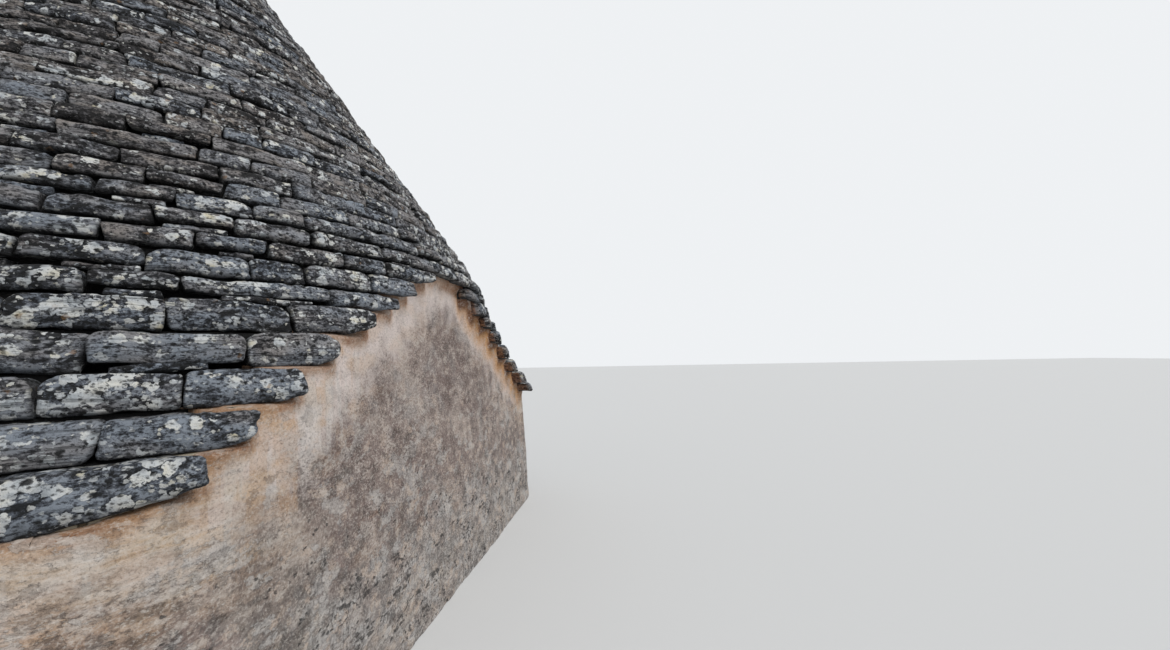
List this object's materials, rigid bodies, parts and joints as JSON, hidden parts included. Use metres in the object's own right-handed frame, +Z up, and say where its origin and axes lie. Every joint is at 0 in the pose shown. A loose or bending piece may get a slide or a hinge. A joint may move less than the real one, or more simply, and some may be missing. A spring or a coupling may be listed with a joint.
{
  "type": "trullo house",
  "caption": "Single-room trullo: square battered plastered stone walls, corbelled stone vault and a stepped conical dry-stone roof cut to an arch on each wall.",
  "frame": {"origin": "centre of the plan on the ground", "axes": "+Z up along the roof's axis; -Y through the doorway; the pictured wall faces +X"},
  "size_m": [4.92, 4.92, 5.641],
  "materials": {
    "roof_stone": "dark weathered limestone with pale lichen, rough",
    "rubble_stone": "rough limestone rubble laid with earth and lime",
    "vault_stone": "rough limestone, unplastered",
    "dressed_stone": "tooled limestone, weathered",
    "floor_stone": "worn limestone slabs",
    "lime_plaster": "old lime plaster, stained and pitted, matt"
  },
  "bodies": {
    "root": {"capstone": "roof_stone", "cone_courses_1": "roof_stone", "cone_courses_2": "roof_stone", "cone_courses_3": "roof_stone", "cone_courses_4": "roof_stone", "cone_courses_5": "roof_stone", "cone_courses_6": "roof_stone", "cone_courses_7": "roof_stone", "door_jamb_left": "dressed_stone", "door_jamb_right": "dressed_stone", "door_lintel": "dressed_stone", "east_plaster": "lime_plaster", "east_wall": "rubble_stone", "inner_lintel": "dressed_stone", "keystone": "vault_stone", "north_east_eaves": "roof_stone", "north_plaster": "lime_plaster", "north_wall": "rubble_stone", "north_west_eaves": "roof_stone", "pinnacle": "dressed_stone", "south_east_eaves": "roof_stone", "south_gable": "rubble_stone", "south_plaster": "lime_plaster", "south_wall_left": "rubble_stone", "south_wall_right": "rubble_stone", "south_west_eaves": "roof_stone", "stone_floor": "floor_stone", "threshold": "dressed_stone", "vault_courses_1": "vault_stone", "vault_courses_2": "vault_stone", "vault_courses_3": "vault_stone", "vault_courses_4": "vault_stone", "vault_courses_5": "vault_stone", "vault_crown": "vault_stone", "west_plaster": "lime_plaster", "west_wall": "rubble_stone"}
  },
  "joints": []
}
